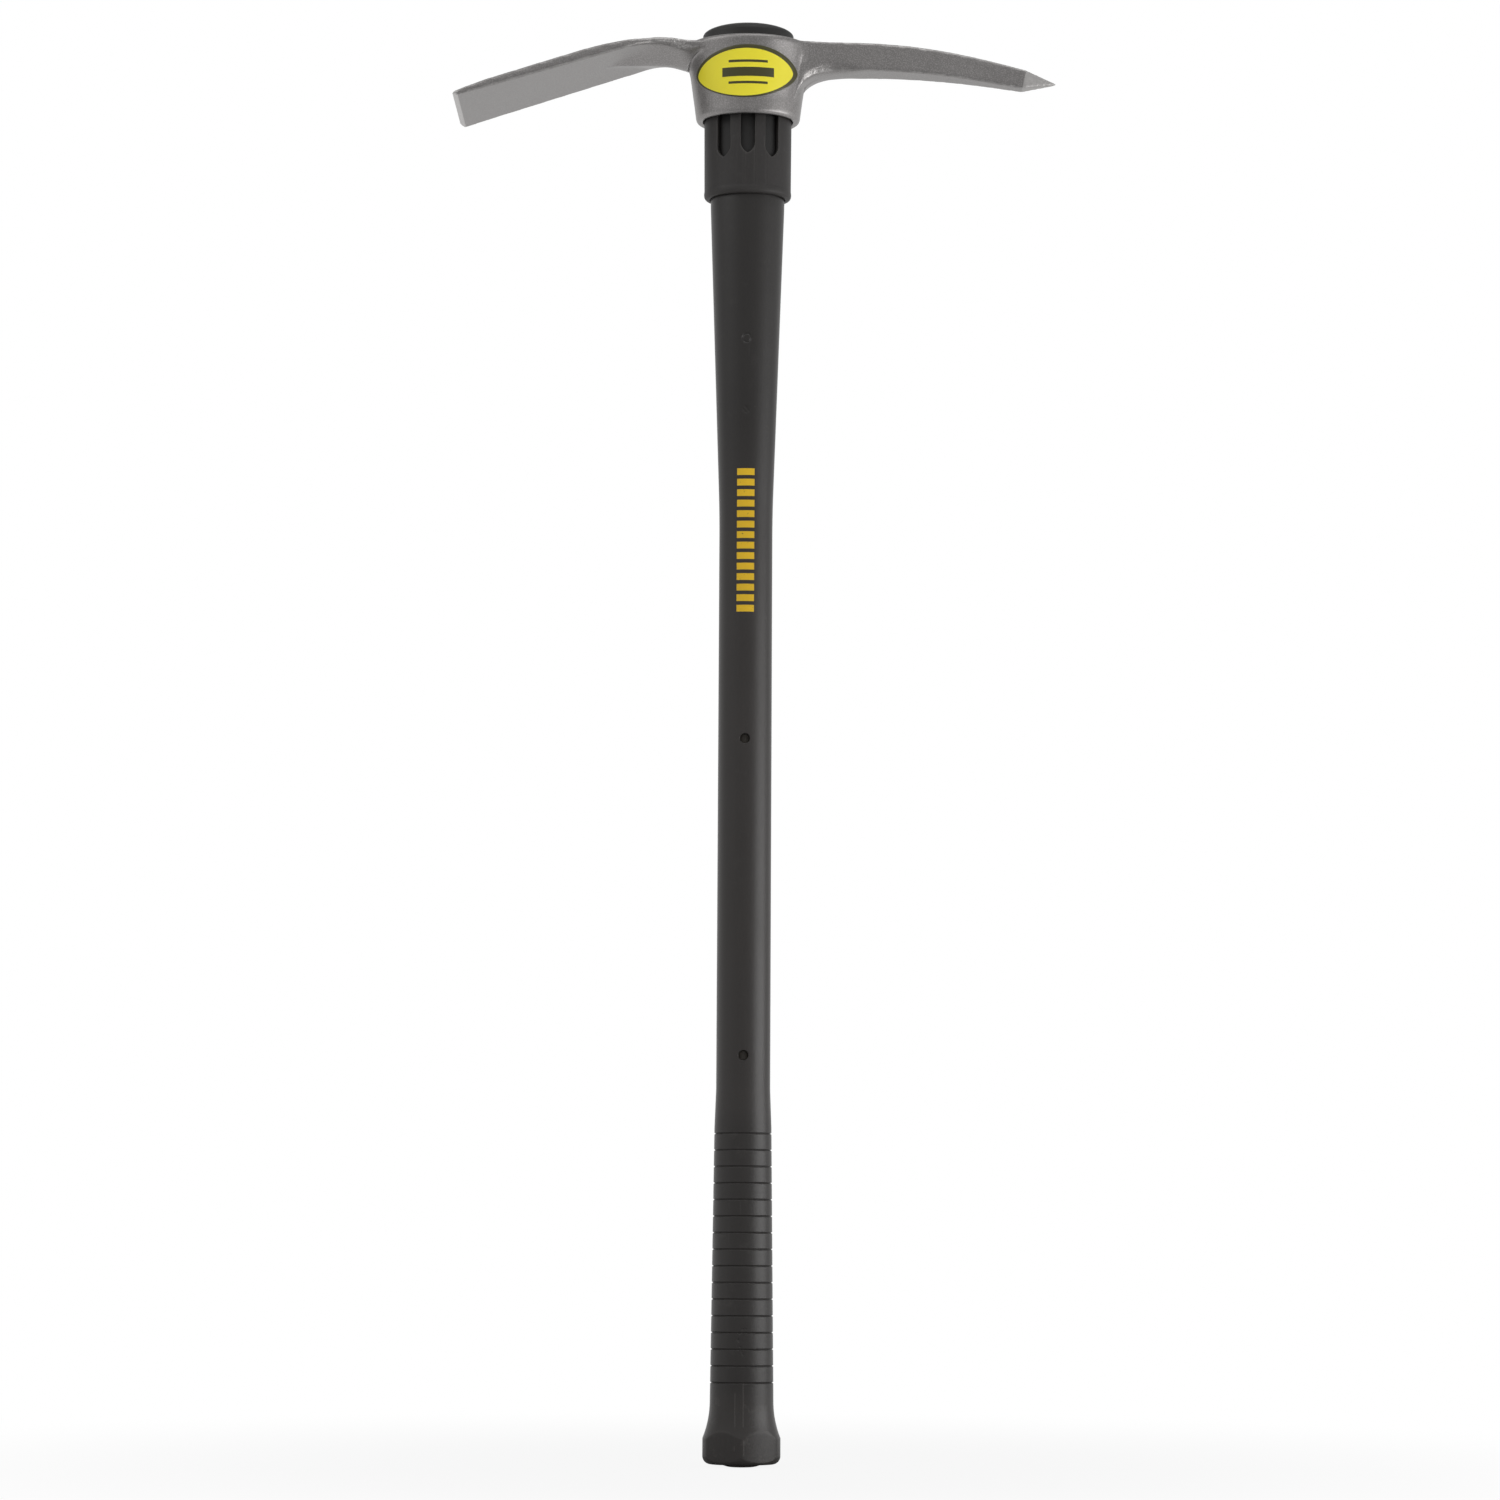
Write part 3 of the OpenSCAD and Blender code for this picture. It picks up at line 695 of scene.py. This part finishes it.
def forged_head(look):
    """The head with filled inner corners and rounded edges, in a fine even mesh."""
    mesh, points = fine_copy("head", look.grain)
    links = neighbours(mesh)
    normals = read_normals(mesh)
    x, y, z = points.T
    reach, front = np.abs(x), y < 0
    outside = smooth_step(np.hypot(x, y / OVAL), *BORE_WALL)
    around = np.hypot((x - LABEL_X) / LABEL_W, (z - LABEL_Z) / LABEL_H)
    off_label = np.where(front, smooth_step(around, *FILL_OFF_LABEL), 1.0)

    # The inner corners are filled, but not in the bore or under the label
    root = (1 - smooth_step(reach, *ROOT_END)) * off_label
    filled = relaxed(points, links, look.fillet)
    gain = np.maximum(((filled - points) * normals).sum(1), 0) * outside * root
    points = points + normals * gain[:, None]

    # The arms' edges run straight and are a little blunt, apart from the cutting edge and the point
    arms = smooth_step(reach, *ARM_START) * (1 - smooth_step(reach, *ARM_END))
    points = drawn_out(points, links, DRAWN, arms)
    points = ironed(points, links, IRONED)
    blunt = relaxed(points, links, BLUNTED)
    keen = np.maximum(smooth_step(-x, *EDGE_KEEN), smooth_step(x, *POINT_KEEN))
    points = points + (blunt - points) * (1 - keen)[:, None]

    # The corners where the arms grow out of the eye are worn round
    soft = smooth_step(reach, *SOFT_START) * (1 - smooth_step(reach, *SOFT_END)) * outside
    soft *= smooth_step(z, *SOFT_FOOT) * (1 - smooth_step(z, *SOFT_TOP))
    soft *= np.where(front, smooth_step(around, *SOFT_OFF_LABEL), 1.0)
    points = points + (relaxed(points, links, SOFTENED) - points) * soft[:, None]

    # Make up for what the grid and the rounding take off the edges
    clear = off_label * outside
    points = points + normals * (look.swell / MM * clear)[:, None]

    # The swelling of the arms where they leave the eye
    up = normals[:, 2]
    under = humps(x, BELLIES) * (up < -FACING) * smooth_step(z, *BELLY_FOOT)
    points[:, 2] += humps(x, CRESTS) * (up > FACING) - under
    points[:, 2] += ADZE_LIFT * smooth_step(-x, *ADZE_RISE)

    # The point and the cutting edge come back to their full reach
    lo, hi = (np.array(c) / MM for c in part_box("head"))
    for end, sign in ((hi[0], 1), (lo[0], -1)):
        out, start = sign * points[:, 0], FULL_REACH
        stretch = (sign * end - start) / (out.max() - start)
        points[:, 0] = sign * np.where(out > start, start + (out - start) * stretch, out)
    write_worn(mesh, points, links)
    return mesh


# Where the head is knocked bare and ground, in metres. The ground point ends on a slope.
KNOCK_LEFT, KNOCK_RIGHT, KNOCK_FOOT, KNOCK_BACK = -0.049, -0.036, 0.880, -0.004
POINT_SLOPE, POINT_Z, POINT_START, BEVEL_START = 0.2212, 0.8729, (0.1760, 0.1765), (0.1838, 0.1842)


def head_finish(look):
    """Silver-grey paint with flakes, chipped and rubbed bare on the edges."""
    f = new_finish("head_silver_paint")
    spot = f.place()
    x, y, z = f.parts(spot)
    cloud = f.noise(spot, 22.0, detail=4.0)
    fine = f.noise(spot, 1000.0, detail=2.0, rough=0.7)
    flake = 1 - f.step(f.cells(spot, 1300.0), 0.08, 0.6)
    speckle = 0.5 * fine + 0.5 * flake
    ripple = f.noise(spot, 130.0)
    edge = f.attribute("edge_wear")
    patch = f.noise(spot, 210.0, detail=5.0, rough=0.7)
    bare = 0.45 * f.step(edge + 0.9 * (patch - 0.5), 0.66, 0.96)
    chip = f.step(f.noise(spot, 520.0, rough=0.6), 0.735, 0.76)
    root = (x > KNOCK_LEFT) * (x < KNOCK_RIGHT) * (z > KNOCK_FOOT) * (y < KNOCK_BACK)
    knock = root * f.step(edge, 0.2, 0.5) * f.step(f.noise(spot, 640.0), 0.48, 0.56)
    bare = bare.most(chip).most(knock).least(1.0)

    # Ground metal at the point and along the cutting edge
    point = f.step(x - POINT_SLOPE * (z - POINT_Z), *POINT_START)
    bevel = f.step(0 - x, *BEVEL_START)
    ground = point.most(0.4 * bevel)
    bare = bare.most(0.75 * point).most(0.85 * bevel)
    paint = f.tinted((*look.paint,), 0.62 + 0.20 * cloud + 0.80 * speckle)
    relief = 0.55 * fine + 0.45 * flake + 0.8 * ripple - 0.4 * bare
    dull = look.roughness + 0.12 * (speckle - 0.5) + 0.08 * (cloud - 0.5)
    return f.surface(
        base_color=f.mix(bare * 0.75, paint, f.tinted((*look.steel,), 0.8 + 0.3 * patch)),
        metallic=look.flake + (1 - look.flake) * bare,
        roughness=dull - 0.12 * bare + 0.26 * ground,
        normal=f.bump(relief, distance=0.00012, strength=0.6))


# The collar's flow lines in millimetres: sideways place and depth, then their width and ends. They
# are only on its outer skin. Its rounds of smoothing are ironed and blunted ones.
FLOW_LINES = ((-7.8, 0.09), (-2.2, 0.14), (4.8, 0.14), (12.2, 0.10))
FLOW_W, FLOW_FOOT, FLOW_TOP = 0.45, (802, 806), (826, 836)
COLLAR_SKIN_R, COLLAR_IRONED, COLLAR_BLUNTED = 26.5, 6, 2


def collar_mesh(look):
    """The collar with softened edges, in a fine even mesh."""
    mesh, points = fine_copy("locking_collar", look.grain)
    links = neighbours(mesh)
    points = relaxed(ironed(points, links, COLLAR_IRONED), links, COLLAR_BLUNTED)
    x, y, z = points.T

    # Flow lines of the moulding below the slots, in front and behind
    for line, depth in FLOW_LINES:
        near = np.exp(-((x - line) / FLOW_W) ** 2)
        near = near * (1 - smooth_step(z, *FLOW_TOP)) * smooth_step(z, *FLOW_FOOT)
        points[:, 1] -= np.sign(y) * near * depth * (np.hypot(x, y / OVAL) > COLLAR_SKIN_R)
    write_worn(mesh, points, links)
    return mesh


def collar_finish(look):
    """Matt black rubber with a dusty film."""
    f = new_finish("collar_black_rubber")
    spot = f.place()
    cloud = f.noise(spot, 40.0, detail=4.0)
    streak = f.noise(f.drawn(spot, 0.08), 420.0)
    grain = f.noise(spot, 2400.0, detail=2.0)
    edge = f.attribute("edge_wear")
    film = f.step(f.noise(spot, 120.0, detail=5.0, rough=0.65), 0.55, 0.78)
    pale = (0.30 * film + 0.8 * edge * f.step(cloud, 0.2, 0.6)).least(1.0)
    rubber = f.tinted((*look.rubber,), 0.76 + 0.30 * streak + 0.18 * grain)
    relief = 0.5 * grain + 0.4 * streak + 0.6 * cloud
    return f.surface(
        base_color=f.mix(pale, rubber, (*look.bloom,)),
        roughness=look.roughness + 0.14 * (cloud - 0.5) + 0.12 * pale,
        specular_ior_level=0.4,
        normal=f.bump(relief, distance=0.0001, strength=0.7))


# The label's ends are pointed and sit high, the right one more
LABEL_POINT_L, LABEL_POINT_R, LABEL_RISE, LABEL_TILT = 0.12, 0.24, 1.3, 0.4

# Its mesh: points on a ring, and rings of the field as shares of its size. The root, the rounded
# rim and the glue are in millimetres. The border is wider at the ends by END_WIDENING.
LABEL_TURNS, FIELD_RINGS = 160, np.linspace(0.95, 0.03, 18)
LABEL_ROOT, RIM, RIM_RISE, GLUE, END_WIDENING = 0.3, 0.12, 0.6, 0.05, 1.3

# Its bars in metres: half widths and half heights, height of the thin ones, and sink of them all
WIDE_HALF_W, WIDE_HALF_H = 0.0165, 0.0029
THIN_HALF_W, THIN_HALF_H, THIN_Z, BARS_SINK = 0.0125, 0.0008, 0.0068, 0.0006


def label_mesh(look):
    """A thin oval wrapped on the eye, ring by ring from its rim to its middle, in metres."""
    lift, border = look.thickness / MM, look.border / MM
    turn = np.linspace(0, 2 * math.pi, LABEL_TURNS, endpoint=False)
    along, over = np.cos(turn), np.sin(turn)
    height = over * np.abs(over) ** np.where(along < 0, LABEL_POINT_L, LABEL_POINT_R)
    rise = LABEL_RISE * along ** 2 + LABEL_TILT * along

    def oval(inset, aside=0.0, sink=0.0):
        return np.stack([(LABEL_W / 2 - END_WIDENING * inset) * along - aside,
                         (LABEL_H / 2 - inset) * height + rise - sink], 1)

    # The field sits a little low and left, so the border is wider at the top and the right
    edge, rim, field = oval(0), oval(RIM), oval(border, look.aside / MM, look.sink / MM)
    rings = [(edge, -LABEL_ROOT), (edge, lift * RIM_RISE), (rim, lift), ((rim + field) / 2, lift),
             (field, lift)]
    border_rows = len(rings) - 1
    rings += [(field * part, lift) for part in FIELD_RINGS]
    points = []
    for ring, out in rings:
        x, z = LABEL_X + ring[:, 0], LABEL_Z + ring[:, 1]
        r = EYE_FOOT_R + (EYE_TOP_R - EYE_FOOT_R) * (z - EYE_FOOT_Z) / (EYE_TOP_Z - EYE_FOOT_Z)
        r = r + GLUE + out
        points.append(np.stack([x, -EYE_OVAL * np.sqrt(r * r - x * x), z], 1))
    rows = len(rings) - 1
    middle = tuple(rows * LABEL_TURNS + j for j in range(LABEL_TURNS))
    kinds = [int(row < border_rows) for row in range(rows) for _ in turn]
    return np.concatenate(points) * MM, ring_faces(len(rings), LABEL_TURNS) + [middle], kinds + [0]


def label_finish(name, paint, ink=None):
    """Printed vinyl, with bars if there is an ink for them."""
    f = new_finish(name)
    spot = f.place()
    cloud = f.noise(spot, 60.0, detail=4.0)
    weave = f.noise(spot, 1800.0, detail=2.0)
    base = f.tinted(paint, 0.94 + 0.08 * cloud + 0.05 * weave)
    if ink:
        x, _, z = f.parts(spot)
        off = abs(z - LABEL_Z * MM + BARS_SINK)
        wide = (abs(x) < WIDE_HALF_W) * (off < WIDE_HALF_H)
        thin = (abs(x) < THIN_HALF_W) * (abs(off - THIN_Z) < THIN_HALF_H)
        base = f.mix(wide.most(thin), base, ink)
    relief = 0.6 * weave + 0.8 * f.noise(spot, 240.0)
    return f.surface(
        base_color=base,
        roughness=0.36 + 0.14 * (cloud - 0.5),
        normal=f.bump(relief, distance=0.00006, strength=0.5))


class MATTOCK_OT_handle(Operator):
    """Build the jacket and finish the core"""

    bl_idname = "mattock.handle"
    bl_label = "Handle"

    def execute(self, context):
        look = context.scene.mattock_handle
        points, faces, raised = handle_mesh(look)
        piece = add_piece("jacket", points, faces, [jacket_finish(look)], "handle",
                          ["handle_jacket"])
        # The raised value also carries the painted highlight on the edges of the knob's flats
        write_value(piece.data, "raised", raised)
        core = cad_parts["handle_core"]
        core.data.materials.clear()
        core.data.materials.append(core_finish(look))
        return {"FINISHED"}


class MATTOCK_OT_head(Operator):
    """Build the forged head"""

    bl_idname = "mattock.head"
    bl_label = "Head"

    def execute(self, context):
        look = context.scene.mattock_head
        dress_piece("forged_head", forged_head(look), [head_finish(look)], "head",
                    ["head"])
        return {"FINISHED"}


class MATTOCK_OT_collar(Operator):
    """Build the locking collar"""

    bl_idname = "mattock.collar"
    bl_label = "Collar"

    def execute(self, context):
        look = context.scene.mattock_collar
        dress_piece("slotted_collar", collar_mesh(look), [collar_finish(look)], "collar",
                    ["locking_collar"])
        return {"FINISHED"}


class MATTOCK_OT_label(Operator):
    """Build the label on the eye"""

    bl_idname = "mattock.label"
    bl_label = "Label"

    def execute(self, context):
        look = context.scene.mattock_label
        points, faces, kinds = label_mesh(look)
        field, line = (*look.field,), (*look.line,)
        finishes = [label_finish("label_field", field, line), label_finish("label_border", line)]
        piece = add_piece("eye_label", points, faces, finishes, "head", ["head_label"])
        piece.data.polygons.foreach_set("material_index", kinds)
        return {"FINISHED"}


# The stage, in metres. Softboxes: name, its power's value, place, target, width and height.
FLOOR = ((-30, -30, 0), (30, -30, 0), (30, 30, 0), (-30, 30, 0))
SOFTBOXES = (
    ("right_softbox", "key", (1.77, -1.02, 0.39), (0, 0, 0.39), 1.6, 0.76),
    ("left_softbox", "fill", (-1.5, -1.15, 2.0), (0, 0, 0.85), 1.5, 1.1),
    ("top_softbox", "over", (0.3, -0.85, 2.4), (0, 0, 0.5), 1.6, 1.0),
)
CAMERA_PLACE, CAMERA_TILT, CAMERA_ROLL = (0.00325, -2.31934, 0.14439), 97.3516, 0.276
CAMERA_LENS, CAMERA_SENSOR, CAMERA_NEAR, CAMERA_FAR = 89.24, 36.0, 0.05, 100.0
WHITE = (1.0, 1.0, 1.0)

# Where the floor and the room change, in metres or as parts of a direction: start and end
SHADOW_END, FRONT_SIDE, LIT_START, LIT_RIGHT = (0.12, 0.75), (0.62, 0.92), (0.15, 0.4), (0.06, 0.2)
WALL_START, WALL_TOP = (-0.40, 0.20), (0.15, 0.6)


def softbox(name, place, target, width, height, watts):
    """A soft rectangular light that points at a place."""
    light = bpy.data.lights.new(name, "AREA")
    light.shape, light.size, light.size_y, light.energy = "RECTANGLE", width, height, watts
    lamp = bpy.data.objects.new(name, light)
    lamp.location = place
    lamp.rotation_euler = (Vector(target) - Vector(place)).to_track_quat("-Z", "Y").to_euler()
    bpy.context.scene.collection.objects.link(lamp)


def floor_finish(look):
    """White where the camera looks past the tool, with the tool's soft shadow kept near it."""
    f = new_finish("floor_white")
    x, y, _ = f.parts(f.place())
    camera, bounced = f.rays()
    reach = (x * x + y * y).root()
    near = camera * (0.90 + 0.10 * f.step(reach, *SHADOW_END))
    front = f.step(0 - y / reach, *FRONT_SIDE)
    lit = f.step(reach, *LIT_START).most(f.step(x, *LIT_RIGHT))
    far = bounced * lit * (1 - 0.8 * front)
    matt = f.node("ShaderNodeBsdfDiffuse", None, {"Color": (*look.floor,)})
    glow = f.node("ShaderNodeEmission", None, {"Color": WHITE, "Strength": 1.0})
    mixed = f.node("ShaderNodeMixShader", None, {0: near.most(far), 1: matt, 2: glow})
    f.node("ShaderNodeOutputMaterial", None, {"Surface": mixed})
    return f.owner


def room(look):
    """A white background, and a dimmer room on the camera's side."""
    f = Finish(bpy.data.worlds.new("studio"))
    _, back, up = f.parts(f.node("ShaderNodeTexCoord", out="Generated"))
    wall = f.step(back, *WALL_START) * (1 - 0.85 * f.step(up, *WALL_TOP))
    camera, bounced = f.rays()
    white = camera.most(wall * (0.75 + 0.25 * bounced))
    glow = f.node("ShaderNodeBackground", None,
                  {"Color": WHITE, "Strength": look.air + (1.0 - look.air) * white})
    f.node("ShaderNodeOutputWorld", None, {"Surface": glow})
    return f.owner


class MATTOCK_OT_stage(Operator):
    """Build the floor, the lights and the camera"""

    bl_idname = "mattock.stage"
    bl_label = "Stage"

    def execute(self, context):
        scene = context.scene
        look = scene.mattock_stage
        mesh = bpy.data.meshes.new("floor")
        mesh.from_pydata(FLOOR, [], [(0, 1, 2, 3)])
        mesh.materials.append(floor_finish(look))
        floor = bpy.data.objects.new("floor", mesh)
        scene.collection.objects.link(floor)
        scene.world = room(look)
        scene.view_settings.view_transform = "Standard"
        for name, value, place, target, width, height in SOFTBOXES:
            softbox(name, place, target, width, height, getattr(look, value))

        lens = bpy.data.cameras.new("photo_camera")
        lens.lens, lens.sensor_width, lens.sensor_fit = CAMERA_LENS, CAMERA_SENSOR, "AUTO"
        lens.clip_start, lens.clip_end = CAMERA_NEAR, CAMERA_FAR
        camera = bpy.data.objects.new("photo_camera", lens)
        tilt = Euler((math.radians(CAMERA_TILT), 0, 0)).to_matrix().to_4x4()
        roll = Matrix.Rotation(math.radians(CAMERA_ROLL), 4, "Z")
        camera.matrix_world = Matrix.Translation(CAMERA_PLACE) @ tilt @ roll
        scene.collection.objects.link(camera)
        scene.camera = camera
        return {"FINISHED"}


GROUPS = {"mattock_handle": HandleLook, "mattock_head": HeadLook, "mattock_collar": CollarLook,
          "mattock_label": LabelLook, "mattock_stage": StageLook}
STEPS = (MATTOCK_OT_handle, MATTOCK_OT_head, MATTOCK_OT_collar, MATTOCK_OT_label, MATTOCK_OT_stage)


class MATTOCK_PT_panel(Panel):
    """Lists the pieces of the mattock"""

    bl_label = "Pick Mattock"
    bl_idname = "MATTOCK_PT_panel"
    bl_space_type = "VIEW_3D"
    bl_region_type = "UI"
    bl_category = "Mattock"

    def draw(self, context):
        for step, (name, group) in zip(STEPS, GROUPS.items()):
            box = self.layout.box()
            box.operator(step.bl_idname)
            for prop in group.__annotations__:
                box.prop(getattr(context.scene, name), prop)


CLASSES = (*GROUPS.values(), *STEPS, MATTOCK_PT_panel)


def register():
    for cls in CLASSES:
        bpy.utils.register_class(cls)
    for name, group in GROUPS.items():
        setattr(bpy.types.Scene, name, PointerProperty(type=group))


def unregister():
    for name in GROUPS:
        delattr(bpy.types.Scene, name)
    for cls in reversed(CLASSES):
        bpy.utils.unregister_class(cls)


def main():
    register()
    bpy.ops.mattock.handle()
    bpy.ops.mattock.head()
    bpy.ops.mattock.collar()
    bpy.ops.mattock.label()
    bpy.ops.mattock.stage()


if __name__ == "__main__":
    main()
